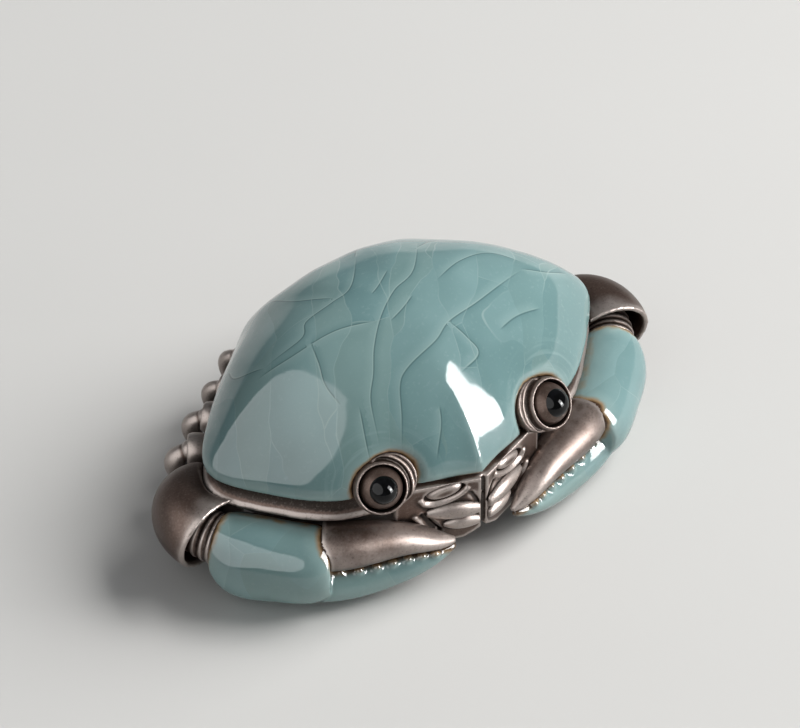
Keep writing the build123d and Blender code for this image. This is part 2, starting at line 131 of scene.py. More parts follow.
def relaxed(mesh, points, rounds):
    """Points after some rounds of moving each halfway to the mean of its neighbours."""
    ends = np.empty(len(mesh.edges) * 2, dtype=np.int64)
    mesh.edges.foreach_get("vertices", ends)
    first, second = ends.reshape(-1, 2).T
    here = np.concatenate((first, second))
    there = np.concatenate((second, first))
    count = np.bincount(here, minlength=len(points))
    for _ in range(rounds):
        mean = [np.bincount(here, points[there, axis], len(points)) / count for axis in range(3)]
        points = (points + np.stack(mean, axis=1)) / 2
    return points


def smooth_path(corners):
    """Close points of a Catmull-Rom curve through some corners."""
    knots = np.array(corners, dtype=float)
    knots = np.vstack((2 * knots[0] - knots[1], knots, 2 * knots[-1] - knots[-2]))
    share = np.linspace(0, 1, PATH_STEPS, endpoint=False)[:, None]
    spans = []
    for before, start, end, after in zip(knots, knots[1:], knots[2:], knots[3:]):
        bend = before - 2.5 * start + 2 * end - after / 2
        twist = 1.5 * (start - end) + (after - before) / 2
        spans.append(start + share * (end - before) / 2 + share**2 * bend + share**3 * twist)
    return np.vstack((*spans, knots[-2]))


def nearest_on_path(points, path):
    """Distance of each point from a path, its plan side of it, and its share along it."""
    nearest = np.full(len(points), np.inf)
    side = np.zeros(len(points))
    along = np.zeros(len(points))
    for index, (start, run) in enumerate(zip(path, np.diff(path, axis=0))):
        offset = points - start
        share = np.clip(offset @ run / (run @ run), 0, 1)
        distance = np.linalg.norm(offset - share[:, None] * run, axis=1)
        closer = distance < nearest
        nearest[closer] = distance[closer]
        across = run[0] * offset[:, 1] - run[1] * offset[:, 0]
        side[closer] = across[closer] / np.hypot(run[0], run[1])
        along[closer] = (index + share[closer]) / (len(path) - 1)
    return nearest, side, along


@lru_cache(maxsize=None)
def nearest_tree(nodes):
    """Search tree over the CAD surfaces of some nodes."""
    places = []
    faces = []
    for node in nodes:
        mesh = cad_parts[node].data
        start = len(places)
        places.extend(vertex.co[:] for vertex in mesh.vertices)
        faces.extend([start + corner for corner in polygon.vertices] for polygon in mesh.polygons)
    return BVHTree.FromPolygons(places, faces)


def distances_to(points, nodes):
    """Distance in mm from each point to the CAD surfaces of some nodes."""
    tree = nearest_tree(tuple(nodes))
    return np.array([tree.find_nearest(point)[3] for point in points.tolist()]) / MM


def reworked(node):
    """A softened skin over a CAD node, which it then stands for."""
    voxel, rounds = WORK[stem_of(node)]
    build = bmesh.new()
    build.from_mesh(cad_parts[node].data)
    bmesh.ops.remove_doubles(build, verts=build.verts, dist=WELD)
    mesh = bpy.data.meshes.new(f"{node}_skin")
    build.to_mesh(mesh)
    build.free()
    piece = bpy.data.objects.new(f"{node}_skin", mesh)
    bpy.context.scene.collection.objects.link(piece)
    skin = piece.modifiers.new("skin", "REMESH")
    skin.mode = "VOXEL"
    skin.voxel_size = voxel * MM
    soften = piece.modifiers.new("soften", "SMOOTH")
    soften.factor = SOFTEN_SHARE
    soften.iterations = rounds
    graph = bpy.context.evaluated_depsgraph_get()
    piece.data = bpy.data.meshes.new_from_object(piece.evaluated_get(graph))
    piece.modifiers.clear()
    piece.data.shade_smooth()
    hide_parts(node)
    return piece


# Shell relief: soft lobes, as plan place, radius and rise in mm, on both sides, and their fade at the rim
SHELL_MIDDLE = Vector((0.0, 1.7, 22.0)) * MM
LOBES = (
    (0.0, -13.0, 8.0, 0.3),
    (8.3, -22.2, 5.0, 1.5),
    (19.0, 3.0, 8.0, 0.35),
    (27.0, -4.0, 7.0, 0.3),
    (4.0, 18.5, 5.0, 0.8),
    (13.0, 20.5, 5.0, 0.8),
)
RIM_FADE = 1.6

# Main cracks of the shell's glaze, as plan corners in mm, with reach and the reach of the painted shade and
# painted light beside them in mm, and fade as a share
CRACKS = (
    ((1.5, 15), (-4.5, 7.5), (-9, 6.5), (-14.5, 6), (-17, 3.5), (-24, 4)),
    ((2.5, 7), (-1, 4.5), (-3, 3.5)),
    ((13, 13.5), (6, 4.5), (0.5, 2), (-4.5, -1.5), (-8.5, -5.5), (-11, -9), (-13.5, -12), (-15, -17)),
    ((2.5, -0.5), (-0.5, -2), (-3.5, -3)),
    ((-26, 3), (-20, 1.5), (-12, 0.5), (-5.5, -2)),
    ((-16.5, 1.5), (-17.5, -2.5), (-18.5, -6), (-18, -10)),
    ((24, -1.5), (17.5, -4), (11.5, -6), (5, -7.5), (1, -9.5), (-5.5, -11), (-8, -12.5), (-10, -16),
     (-12, -19)),
    ((25.5, 0.5), (21, 3.5), (14.5, 3), (8, 0.5)),
    ((24, -1.5), (29, -2), (34, -1)),
    ((5, -7.5), (6.5, -11), (7, -13.5), (2.5, -15)),
    ((23, -8.5), (17.5, -9.5), (13, -11)),
    ((-15.5, -11.5), (-17, -16.5), (-17, -20)),
    ((-3.5, -17.5), (-4.5, -19.5), (-7, -22)),
    ((10, 10), (16, 12), (24, 11)),
    ((1.5, 15), (4, 19), (3, 23)),
    ((-8, 7), (-12, 13), (-13, 20)),
    ((-24, 4), (-27, 8), (-26, 12)),
    ((13, 13.5), (12, 18), (14, 22)),
)
CRACK_REACH = 6.0
CRACK_FADE = 0.14
CRACK_SHADE = 1.7


def raise_lobes(mesh, rim_distance):
    """Lifts soft lobes on the outside of the shell, fading out towards its rim."""
    points = points_of(mesh)
    normals = normals_of(mesh)
    outside = np.einsum("ij,ij->i", normals, points - np.array(SHELL_MIDDLE)) > 0
    lift = np.zeros(len(points))
    for x, y, radius, rise in LOBES:
        for side in {x, -x}:
            span = np.hypot(points[:, 0] / MM - side, points[:, 1] / MM - y) / radius
            lift += rise * np.exp(-span**2)
    lift *= outside * np.clip(rim_distance / RIM_FADE, 0, 1)
    move_points(mesh, points + normals * lift[:, None] * MM)


def note_cracks(mesh):
    """Stores each vertex's distance from the nearest main crack, its side and the crack's strength."""
    plan = points_of(mesh)[:, :2] / MM
    near = np.full(len(plan), CRACK_REACH)
    side = np.full(len(plan), CRACK_REACH)
    power = np.zeros(len(plan))
    for corners in CRACKS:
        distance, across, along = nearest_on_path(plan, smooth_path(corners))
        closer = distance < near
        near[closer] = distance[closer]
        side[closer] = across[closer]
        power[closer] = np.clip(np.minimum(along, 1 - along)[closer] / CRACK_FADE, 0, 1)
    write_attribute(mesh, "crack_near", near)
    write_attribute(mesh, "crack_side", side)
    write_attribute(mesh, "crack_power", power)


# Carving: paths in mm on the +X side, used on both, with half width and rise in mm
FACE_FRONT = -26.2
FACE_SLOPE = 0.369
FACE_STROKES = (
    (((2.3, 17.8), (1.5, 16.2), (0.9, 14.6)), 0.35, -0.5),
    (((9.9, 13.8), (8.7, 11.6), (7.5, 9.7)), 0.5, -0.9),
    (((11.3, 13.9), (10.1, 11.8), (8.9, 9.9)), 0.5, 0.45),
    (((10.4, 17.9), (9.6, 16.7), (7.8, 16.3), (5.6, 16.9), (3.9, 18.0), (2.8, 19.2)), 0.45, 0.45),
)
ROLL_STROKES = (
    (((2.0, 14.9), (5.0, 15.1), (8.6, 14.7)), 0.3, -0.3),
    (((1.6, 13.5), (4.6, 13.4), (7.6, 13.6)), 0.3, -0.2),
)
# Socket grooves: radius, height along the eye's axis, half width and rise in mm, with their reach in degrees
SOCKET_GROOVES = ((4.95, 0.6, 0.28, -0.5), (5.8, 0.5, 0.25, -0.4))
GROOVE_REACH = 75
GROOVE_POINTS = 7


def on_face(corners):
    """Places on the face for corners given across and up."""
    return [(across, FACE_FRONT + across * FACE_SLOPE, up) for across, up in corners]


def middle_of(node):
    """Middle in mm of a CAD node's box, on the +X side."""
    points = points_of(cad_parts[node].data) / MM
    middle = (points.min(axis=0) + points.max(axis=0)) / 2
    return middle * (np.sign(middle[0]), 1, 1)


def socket_strokes():
    """Crescent grooves on the nose side of an eye."""
    ball = middle_of("eyeball_left")
    axis = middle_of("pupil_left") - ball
    axis /= np.linalg.norm(axis)
    nose = np.cross(axis, (0, 1, 0))
    nose *= -np.sign(nose[0]) / np.linalg.norm(nose)
    upright = np.cross(nose, axis)
    turns = np.radians(np.linspace(-GROOVE_REACH, GROOVE_REACH, GROOVE_POINTS))
    strokes = []
    for radius, height, width, rise in SOCKET_GROOVES:
        middle = ball + axis * height
        corners = [middle + radius * (nose * math.cos(turn) + upright * math.sin(turn)) for turn in turns]
        strokes.append((corners, width, rise))
    return strokes


def carve(mesh, strokes):
    """Presses strokes into a mesh, or raises them from it, alike on both sides."""
    points = points_of(mesh)
    one_side = points / MM
    one_side[:, 0] = np.abs(one_side[:, 0])
    lift = np.zeros(len(points))
    for corners, width, rise in strokes:
        distance = nearest_on_path(one_side, smooth_path(corners))[0]
        lift += rise * np.exp(-((distance / width) ** 2))
    move_points(mesh, points + normals_of(mesh) * lift[:, None] * MM)


FACE_CARVING = [(on_face(corners), width, rise) for corners, width, rise in FACE_STROKES]
ROLL_CARVING = [(on_face(corners), width, rise) for corners, width, rise in ROLL_STROKES]
CARVING = {"face_plate": FACE_CARVING, "upper_mouthpart": ROLL_CARVING, "eye_socket": socket_strokes()}


# Node graphs, where a range is the low and high that come in, then the low and high that go out

LOW_DETAIL = 1.0
FINE_DETAIL = 3.0
HIGH_DETAIL = 4.0
NOISE_MIDDLE = 0.5


def set_inputs(tree, node, inputs):
    """Sets or links a node's inputs."""
    for key, value in inputs.items():
        if isinstance(value, bpy.types.NodeSocket):
            tree.links.new(value, node.inputs[key])
        else:
            node.inputs[key].default_value = value


def add_node(tree, kind, inputs=None, **settings):
    """A node with its settings, and its inputs set or linked."""
    node = tree.nodes.new(kind)
    for key, value in settings.items():
        setattr(node, key, value)
    set_inputs(tree, node, inputs or {})
    return node


def calc(tree, operation, first, second=0.0, third=0.0):
    """Result of one sum."""
    inputs = {0: first, 1: second, 2: third}
    return add_node(tree, "ShaderNodeMath", inputs, operation=operation).outputs[0]


def vector_calc(tree, operation, first, second):
    """Result of one vector sum."""
    inputs = {0: first, 1: second}
    return add_node(tree, "ShaderNodeVectorMath", inputs, operation=operation).outputs[0]


def remap(tree, value, low, high, new_low=0.0, new_high=1.0):
    """A value carried smoothly from one range to another."""
    inputs = {"Value": value, "From Min": low, "From Max": high, "To Min": new_low, "To Max": new_high}
    return add_node(tree, "ShaderNodeMapRange", inputs, interpolation_type="SMOOTHSTEP").outputs[0]


def mix(tree, share, first, second):
    """Two colours mixed by a share."""
    inputs = {"Fac": share, "Color1": first, "Color2": second}
    return add_node(tree, "ShaderNodeMixRGB", inputs).outputs[0]


def noise(tree, where, scale, detail=2.0, rough=0.5):
    """Noise node, whose scale is in waves for each metre."""
    inputs = {"Vector": where, "Scale": scale, "Detail": detail, "Roughness": rough}
    return add_node(tree, "ShaderNodeTexNoise", inputs)


def attribute(tree, name):
    """A number stored on the vertices."""
    return add_node(tree, "ShaderNodeAttribute", attribute_name=name).outputs["Fac"]


def new_material(name):
    """A material with its graph, its object place and its surface shader."""
    material = bpy.data.materials.new(name)
    material.use_nodes = True
    tree = material.node_tree
    where = add_node(tree, "ShaderNodeTexCoord").outputs["Object"]
    return material, tree, where, tree.nodes["Principled BSDF"]


# Celadon glaze

GLAZE_DEEP = (0.125, 0.225, 0.228, 1)
GLAZE_MID = (0.178, 0.295, 0.298, 1)
# Thin glaze, also used as painted light on one side of each main crack
GLAZE_THIN_AND_LIT = (0.25, 0.36, 0.35, 1)
GLAZE_WARM = (0.205, 0.285, 0.255, 1)
GLAZE_LINE = (0.29, 0.39, 0.37, 1)
# Painted shade, for one side of each craze plate and of each main crack
GLAZE_SHADE = (0.085, 0.17, 0.175, 1)
GLAZE_CRACK = (0.05, 0.10, 0.10, 1)
OCHRE = (0.30, 0.17, 0.065, 1)
IRON_BROWN = (0.06, 0.034, 0.019, 1)
GLAZE_IOR = 1.56
GLAZE_ROUGH = (0.2, 0.8, 0.05, 0.09)
CRAZE_WIDTH = 0.13 * MM
CRAZE_CORE = 0.25
CRAZE_WAVES = 0.45
CRAZE_DRIFT = 1.1
CRAZE_STEP = 0.01
CRACK_CLOSE = (0.4, 0.6, 1.0, 0.0)
CRACK_LINE = (0.05, 0.15, 1.0, 0.0)
HAIR_START = (0.05, 0.15)
HAIR_END = (0.2, 0.4, 1.0, 0.0)
SIDE_STEP = 0.12
STREAK_WAVES = 1300
STREAK_SLOW = 0.1
STREAK_BAND = (0.5, 0.72)
STREAK_ZONE = (6.5 * MM, 13 * MM, 1.0, 0.0)
CLOUD_WAVES = 45
CLOUD_RANGE = (0.35, 0.68)
RIDGE_THIN = (0.0, 1.0, 0.0, 0.8)
SPECK_WAVES = 1500
SPECK_RANGE = (0.55, 0.8, 0.0, 0.3)
# Painted shade across each craze plate, darker towards one side
PLATE_SLOPE_SHADE = (-0.5, 0.5, 0.0, 0.25)
PLATE_LIT = (0.0, 1.0, 0.0, 0.2)
PLATE_WARM = (0.3, 1.0, 0.0, 0.3)
# Shares of painted shade and painted light on the two sides of each main crack
SHADED_SIDE_SHARE = 0.42
LIT_SIDE_SHARE = 0.35
STREAK_SHARE = 0.45
HAIR_SHARE = 0.6
FADE_WAVES = 80
CRAZE_FADE = (0.38, 0.62, 0.0, 0.5)
LINE_FADE = (0.3, 0.6, 0.3, 0.65)
RAGGED_WAVES = 420
RAGGED_REACH = 0.8
RIM_THIN = (0.8, 2.6, 0.6, 0.0)
RIM_OCHRE = (0.6, 1.25, 0.9, 0.0)
RIM_BROWN = (0.4, 0.75, 1.0, 0.0)
TIP_RAGGED = (0.2, 0.6, 0.75, 1.0)
OFF_TEETH = (0.1, 0.7, 1.0, 0.0)
SWELL_WAVES = 110
SWELL_HEIGHT = 0.16
CRACK_DEPTH = 0.012
GLAZE_BUMP = 0.5


def craze(tree, where, heading, cell, width):
    """Craze lines of stretched cells: line strength, place across the cell and a tone for each cell.

    The heading is the plan angle of the cells, their size and the line's width are in metres.
    """
    drift = noise(tree, where, CRAZE_WAVES / cell[1]).outputs["Color"]
    drift = vector_calc(tree, "SUBTRACT", drift, (NOISE_MIDDLE, NOISE_MIDDLE, NOISE_MIDDLE))
    inputs = {0: drift, "Scale": cell[1] * CRAZE_DRIFT}
    drift = add_node(tree, "ShaderNodeVectorMath", inputs, operation="SCALE").outputs[0]
    bent = vector_calc(tree, "ADD", where, drift)
    inputs = {"Vector": bent, "Rotation": (0, 0, heading), "Scale": cell}
    spot = add_node(tree, "ShaderNodeMapping", inputs, vector_type="TEXTURE").outputs[0]
    step = CRAZE_STEP
    levels = []
    for shift in ((0, 0, 0), (step, 0, 0), (0, step, 0), (0, 0, step)):
        moved = vector_calc(tree, "ADD", spot, shift)
        inputs = {"Vector": moved, "Scale": 1.0}
        cells = add_node(tree, "ShaderNodeTexVoronoi", inputs, feature="DISTANCE_TO_EDGE")
        levels.append(cells.outputs["Distance"])
    slopes = [
        calc(tree, "DIVIDE", calc(tree, "SUBTRACT", level, levels[0]), step * length)
        for level, length in zip(levels[1:], cell)
    ]
    slope = add_node(tree, "ShaderNodeCombineXYZ", {0: slopes[0], 1: slopes[1], 2: slopes[2]}).outputs[0]
    steepness = add_node(tree, "ShaderNodeVectorMath", {0: slope}, operation="LENGTH").outputs["Value"]
    span = calc(tree, "DIVIDE", levels[0], calc(tree, "MAXIMUM", steepness, 1.0))
    line = remap(tree, span, width * CRAZE_CORE, width, 1.0, 0.0)
    nearest = add_node(tree, "ShaderNodeTexVoronoi", {"Vector": spot, "Scale": 1.0}, feature="F1")
    inside = vector_calc(tree, "SUBTRACT", spot, nearest.outputs["Position"])
    across = add_node(tree, "ShaderNodeSeparateXYZ", {0: inside}).outputs["Y"]
    return line, across, nearest.outputs["Color"]


def main_cracks(tree):
    """Main cracks: the line, the hairline beside it, painted shade on the plate's one side and painted light
    on its other side.
    """
    side = attribute(tree, "crack_side")
    near = attribute(tree, "crack_near")
    power = attribute(tree, "crack_power")
    close = calc(tree, "MULTIPLY", remap(tree, near, *CRACK_CLOSE), power)
    line = calc(tree, "MULTIPLY", remap(tree, calc(tree, "ABSOLUTE", side), *CRACK_LINE), close)
    hair = calc(tree, "MULTIPLY", remap(tree, side, *HAIR_START), remap(tree, side, *HAIR_END))
    hair = calc(tree, "MULTIPLY", hair, close)
    reach = calc(tree, "MULTIPLY", remap(tree, near, 0.0, CRACK_SHADE, 1.0, 0.0), power)
    # dark is painted shade on one side of the crack, pale is painted light on the other
    dark = calc(tree, "MULTIPLY", remap(tree, side, 0.0, SIDE_STEP), reach)
    pale = calc(tree, "MULTIPLY", remap(tree, side, -SIDE_STEP, 0.0, 1.0, 0.0), reach)
    return line, hair, dark, pale


def eye_streaks(tree, where):
    """Pale rings of thin glaze round both eyes."""
    spread = add_node(tree, "ShaderNodeSeparateXYZ", {0: where}).outputs
    inputs = {0: calc(tree, "ABSOLUTE", spread[0]), 1: spread[1], 2: spread[2]}
    one_side = add_node(tree, "ShaderNodeCombineXYZ", inputs).outputs[0]
    inputs = {0: one_side, 1: tuple(middle_of("eyeball_left") * MM)}
    distance = add_node(tree, "ShaderNodeVectorMath", inputs, operation="DISTANCE").outputs["Value"]
    slow_x = calc(tree, "MULTIPLY", spread[0], STREAK_SLOW)
    slow_y = calc(tree, "MULTIPLY", spread[1], STREAK_SLOW)
    ring = add_node(tree, "ShaderNodeCombineXYZ", {0: distance, 1: slow_x, 2: slow_y}).outputs[0]
    band = remap(tree, noise(tree, ring, STREAK_WAVES, LOW_DETAIL).outputs["Fac"], *STREAK_BAND)
    zone = remap(tree, distance, *STREAK_ZONE)
    return calc(tree, "MULTIPLY", band, zone)


def glaze_rim(tree, where, colour, spread):
    """Glaze colour, thinned to ochre and brown where it ends on the clay and along the bite of a claw."""
    ragged = noise(tree, where, RAGGED_WAVES, FINE_DETAIL).outputs["Fac"]
    ragged = calc(tree, "MULTIPLY", ragged, RAGGED_REACH)
    rim = calc(tree, "ADD", calc(tree, "DIVIDE", attribute(tree, "edge"), spread), ragged)
    colour = mix(tree, remap(tree, rim, *RIM_THIN), colour, GLAZE_THIN_AND_LIT)
    colour = mix(tree, remap(tree, rim, *RIM_OCHRE), colour, OCHRE)
    colour = mix(tree, remap(tree, rim, *RIM_BROWN), colour, IRON_BROWN)
    tip = calc(tree, "MULTIPLY", attribute(tree, "tip"), remap(tree, ragged, *TIP_RAGGED))
    colour = mix(tree, tip, colour, IRON_BROWN)
    off_teeth = remap(tree, attribute(tree, "ridge"), *OFF_TEETH)
    bite = calc(tree, "MULTIPLY", attribute(tree, "bite"), off_teeth)
    return mix(tree, bite, colour, IRON_BROWN)


def celadon(name, heading, cell, spread):
    """Blue-green crackle glaze, whose thin edge on the clay is wider or narrower by its spread."""
    material, tree, where, shader = new_material(name)
    line, across, tone = craze(tree, where, heading, cell, CRAZE_WIDTH)
    crack, hair, dark, pale = main_cracks(tree)
    cloud = noise(tree, where, CLOUD_WAVES, FINE_DETAIL).outputs["Fac"]
    colour = mix(tree, remap(tree, cloud, *CLOUD_RANGE), GLAZE_DEEP, GLAZE_MID)
    colour = mix(tree, remap(tree, attribute(tree, "ridge"), *RIDGE_THIN), colour, GLAZE_THIN_AND_LIT)
    speck = noise(tree, where, SPECK_WAVES).outputs["Fac"]
    colour = mix(tree, remap(tree, speck, *SPECK_RANGE), colour, GLAZE_THIN_AND_LIT)
    # painted shade across each craze plate
    colour = mix(tree, remap(tree, across, *PLATE_SLOPE_SHADE), colour, GLAZE_SHADE)
    lit, warm = add_node(tree, "ShaderNodeSeparateColor", {0: tone}).outputs[:2]
    colour = mix(tree, remap(tree, lit, *PLATE_LIT), colour, GLAZE_THIN_AND_LIT)
    colour = mix(tree, remap(tree, warm, *PLATE_WARM), colour, GLAZE_WARM)
    # painted shade on one side of each main crack and painted light on the other
    colour = mix(tree, calc(tree, "MULTIPLY", dark, SHADED_SIDE_SHARE), colour, GLAZE_SHADE)
    colour = mix(tree, calc(tree, "MULTIPLY", pale, LIT_SIDE_SHARE), colour, GLAZE_THIN_AND_LIT)
    colour = mix(tree, calc(tree, "MULTIPLY", eye_streaks(tree, where), STREAK_SHARE), colour, GLAZE_THIN_AND_LIT)
    colour = mix(tree, calc(tree, "MULTIPLY", hair, HAIR_SHARE), colour, GLAZE_CRACK)
    fade = noise(tree, where, FADE_WAVES).outputs["Fac"]
    strength = calc(tree, "MULTIPLY", line, remap(tree, fade, *CRAZE_FADE))
    colour = mix(tree, strength, colour, GLAZE_LINE)
    strength = calc(tree, "MULTIPLY", crack, remap(tree, fade, *LINE_FADE))
    colour = mix(tree, strength, colour, GLAZE_LINE)
    colour = glaze_rim(tree, where, colour, spread)

    swell = calc(tree, "MULTIPLY", noise(tree, where, SWELL_WAVES).outputs["Fac"], SWELL_HEIGHT)
    relief = calc(tree, "SUBTRACT", swell, calc(tree, "MULTIPLY", crack, CRACK_DEPTH))
    bump = add_node(tree, "ShaderNodeBump", {"Height": relief, "Strength": GLAZE_BUMP, "Distance": MM})
    rough = remap(tree, fade, *GLAZE_ROUGH)
    inputs = {"Base Color": colour, "Roughness": rough, "Normal": bump.outputs[0], "IOR": GLAZE_IOR}
    set_inputs(tree, shader, inputs)
    return material


# Bronze clay

# The dark colour is dark grain and painted shade in creases, seams and over the lip band
CLAY_DARK = (0.022, 0.014, 0.010, 1)
CLAY_MID = (0.086, 0.056, 0.044, 1)
# The worn colour is also painted sheen on the hood mouths and the lip
CLAY_WORN_AND_SHEEN = (0.40, 0.35, 0.322, 1)
CLAY_METAL = 0.64
CLAY_NOISE_ROUGH = 0.6
CLAY_BUMP = 0.6
PATCH_WAVES = 160
PATCH_HEIGHT = 0.9
PATCH_ROUGH = (0.3, 0.7, 0.32, 0.42)
GRAIN_WAVES = 2600
GRAIN_HEIGHT = 0.03
GRAIN_PALE = (0.5, 0.75, 0.0, 0.1)
GRAIN_DARK = (0.25, 0.45, 0.4, 0.0)
GRAIN_ROUGH = (0.3, 0.7, 0.0, 0.05)
# Painted shade where the relief is low, in creases and seams
CREASE_SHADE_RANGE = (-0.9, 0.05)
WORN_AND_SHEEN_RANGE = (0.1, 1.1)


def bronze_clay(name, burnish):
    """Iron-brown clay with a metallic sheen, painted shade in its creases, seams and over the lip band,
    rubbed bright on its ridges, with painted sheen as well as wear on the hood mouths and the lip.
    """
    material, tree, where, shader = new_material(name)
    patch = noise(tree, where, PATCH_WAVES, HIGH_DETAIL, CLAY_NOISE_ROUGH).outputs["Fac"]
    grain = noise(tree, where, GRAIN_WAVES, rough=CLAY_NOISE_ROUGH).outputs["Fac"]
    uneven = calc(tree, "MULTIPLY", calc(tree, "SUBTRACT", patch, NOISE_MIDDLE), PATCH_HEIGHT)
    height = calc(tree, "ADD", attribute(tree, "ridge"), uneven)
    # painted shade in creases, at seams and over the lip band
    colour = mix(tree, remap(tree, height, *CREASE_SHADE_RANGE), CLAY_DARK, CLAY_MID)
    # wear on ridges, with painted sheen on the hood mouths and lip
    colour = mix(tree, remap(tree, height, *WORN_AND_SHEEN_RANGE, 0.0, burnish), colour, CLAY_WORN_AND_SHEEN)
    colour = mix(tree, remap(tree, grain, *GRAIN_PALE), colour, CLAY_WORN_AND_SHEEN)
    colour = mix(tree, remap(tree, grain, *GRAIN_DARK), colour, CLAY_DARK)
    rough = calc(tree, "ADD", remap(tree, patch, *PATCH_ROUGH), remap(tree, grain, *GRAIN_ROUGH))
    relief = calc(tree, "MULTIPLY", grain, GRAIN_HEIGHT)
    bump = add_node(tree, "ShaderNodeBump", {"Height": relief, "Strength": CLAY_BUMP, "Distance": MM})
    inputs = {"Base Color": colour, "Metallic": CLAY_METAL, "Roughness": rough, "Normal": bump.outputs[0]}
    set_inputs(tree, shader, inputs)
    return material


# Black pupils

PUPIL_BLACK = (0.001, 0.001, 0.001, 1)
PUPIL_HAZE = (0.004, 0.004, 0.005, 1)
PUPIL_IOR = 1.28
HAZE_WAVES = 700
HAZE_RANGE = (0.4, 0.7)
HAZE_ROUGH = (0.3, 0.7, 0.02, 0.05)


def black_gloss():
    """Black glaze with a faint haze in it."""
    material, tree, where, shader = new_material("black_gloss")
    haze = noise(tree, where, HAZE_WAVES, FINE_DETAIL).outputs["Fac"]
    colour = mix(tree, remap(tree, haze, *HAZE_RANGE), PUPIL_BLACK, PUPIL_HAZE)
    rough = remap(tree, haze, *HAZE_ROUGH)
    set_inputs(tree, shader, {"Base Color": colour, "Roughness": rough, "IOR": PUPIL_IOR})
    return material


# Pieces, with reaches and heights in mm, and wear, dirt, painted sheen and painted shade in the ridge
# attribute's own units

SHELL_HEADING = math.radians(56.5)
SHELL_CELL = (24 * MM, 6.5 * MM, 28 * MM)
CLAW_HEADING = math.radians(25)
CLAW_CELL = (15 * MM, 9 * MM, 14 * MM)
SHELL_SPREAD = 1.3
CLAW_SPREAD = 1.7
CLAY_BURNISH = 0.75
EYE_BURNISH = 0.35
EDGE_REACH = 5.0
RIDGE_REACH = 1.0
RIDGE_SCALE = 0.06 * MM
RIDGE_LIMIT = 2
# Hood mouths and lip: wear together with painted sheen; band over the lip: painted shade
HOOD_REACH = 6.5
HOOD_WEAR_AND_SHEEN = 2.0
HOOD_DIRT = 0.4
# Painted shade at the seams between clay pieces
SEAM_REACH = 0.8
SEAM_SHADE = 1.6
LIP_HEIGHT = 17.0
LIP_REACH = 0.45
LIP_WEAR_AND_SHEEN = 1.3
BAND_SHADE = 0.5
TIP_REACH = 3.5
BITE_REACH = 1.5
BITE_GAIN = 1.5
BITE_END = (24.0, 27.0)

shell_glaze = celadon("celadon_shell", SHELL_HEADING, SHELL_CELL, SHELL_SPREAD)
claw_glaze = celadon("celadon_claw", CLAW_HEADING, CLAW_CELL, CLAW_SPREAD)
clay = bronze_clay("bronze_clay", CLAY_BURNISH)
eye_clay = bronze_clay("bronze_clay_eye", EYE_BURNISH)
black = black_gloss()
clay_nodes = [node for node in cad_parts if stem_of(node) not in GLAZED]


def finish_piece(piece, material):
    """Gives a piece its material and ties it to the body."""
    piece.data.materials.clear()
    piece.data.materials.append(material)
    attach(piece, "root")


def wear_sheen_and_shade(node, points):
    """Extra wear with painted sheen on the hood's mouth and the body's lip, dirt on the hood, and painted
    shade on the band over the lip.
    """
    if "claw_elbow" in node:
        near = 1 - distances_to(points, [node.replace("elbow", "palm")]) / HOOD_REACH
        # wear with painted sheen at the hood's mouth, and dirt over the whole hood
        return HOOD_WEAR_AND_SHEEN * np.clip(near, 0, 1) - HOOD_DIRT
    if node == "underbody":
        height = points[:, 2] / MM - LIP_HEIGHT
        # wear with painted sheen along the lip, painted shade on the band above it
        return LIP_WEAR_AND_SHEEN * np.exp(-((height / LIP_REACH) ** 2)) - BAND_SHADE * (height > 2 * LIP_REACH)
    return 0


def seam_shade(node, points):
    """Painted shade where a clay piece meets its clay neighbours."""
    near = np.zeros(len(points))
    for other in clay_nodes:
        walls = points_of(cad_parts[other].data)
        low = walls.min(axis=0) - SEAM_REACH * MM
        high = walls.max(axis=0) + SEAM_REACH * MM
        close = np.all((points > low) & (points < high), axis=1)
        if other != node and close.any():
            touch = 1 - distances_to(points[close], [other]) / SEAM_REACH
            near[close] = np.maximum(near[close], touch)
    return SEAM_SHADE * near


def note_ridges(mesh, node):
    """Stores how far each vertex stands out of, or lies in, the surface round it, with its wear and dirt,
    and on clay painted sheen and painted shade.
    """
    points = points_of(mesh)
    voxel = WORK[stem_of(node)][0]
    level = relaxed(mesh, points, round((RIDGE_REACH / voxel) ** 2))
    out = np.einsum("ij,ij->i", points - level, normals_of(mesh))
    ridge = out / RIDGE_SCALE + wear_sheen_and_shade(node, points)
    if stem_of(node) not in GLAZED:
        # painted shade at the seams between clay pieces
        ridge -= seam_shade(node, points)
    write_attribute(mesh, "ridge", np.clip(ridge, -RIDGE_LIMIT, RIDGE_LIMIT))


def note_tip(mesh):
    """Stores how near each vertex of a claw is to the tip of its fixed finger."""
    points = points_of(mesh) / MM
    tip = points[np.argmin(np.abs(points[:, 0]))]
    write_attribute(mesh, "tip", np.clip(1 - np.linalg.norm(points - tip, axis=1) / TIP_REACH, 0, 1))


def note_bite(mesh, finger):
    """Stores how near each vertex of a claw is to the moving finger, along its teeth."""
    points = points_of(mesh)
    near = np.clip(BITE_GAIN - BITE_GAIN * distances_to(points, [finger]) / BITE_REACH, 0, 1)
    along = np.interp(np.abs(points[:, 0]) / MM, BITE_END, (1, 0))
    write_attribute(mesh, "bite", near * along)


def keep_in_box(mesh):
    """Holds the vertices of a mesh inside the CAD model's box."""
    move_points(mesh, np.clip(points_of(mesh), *cad_box))


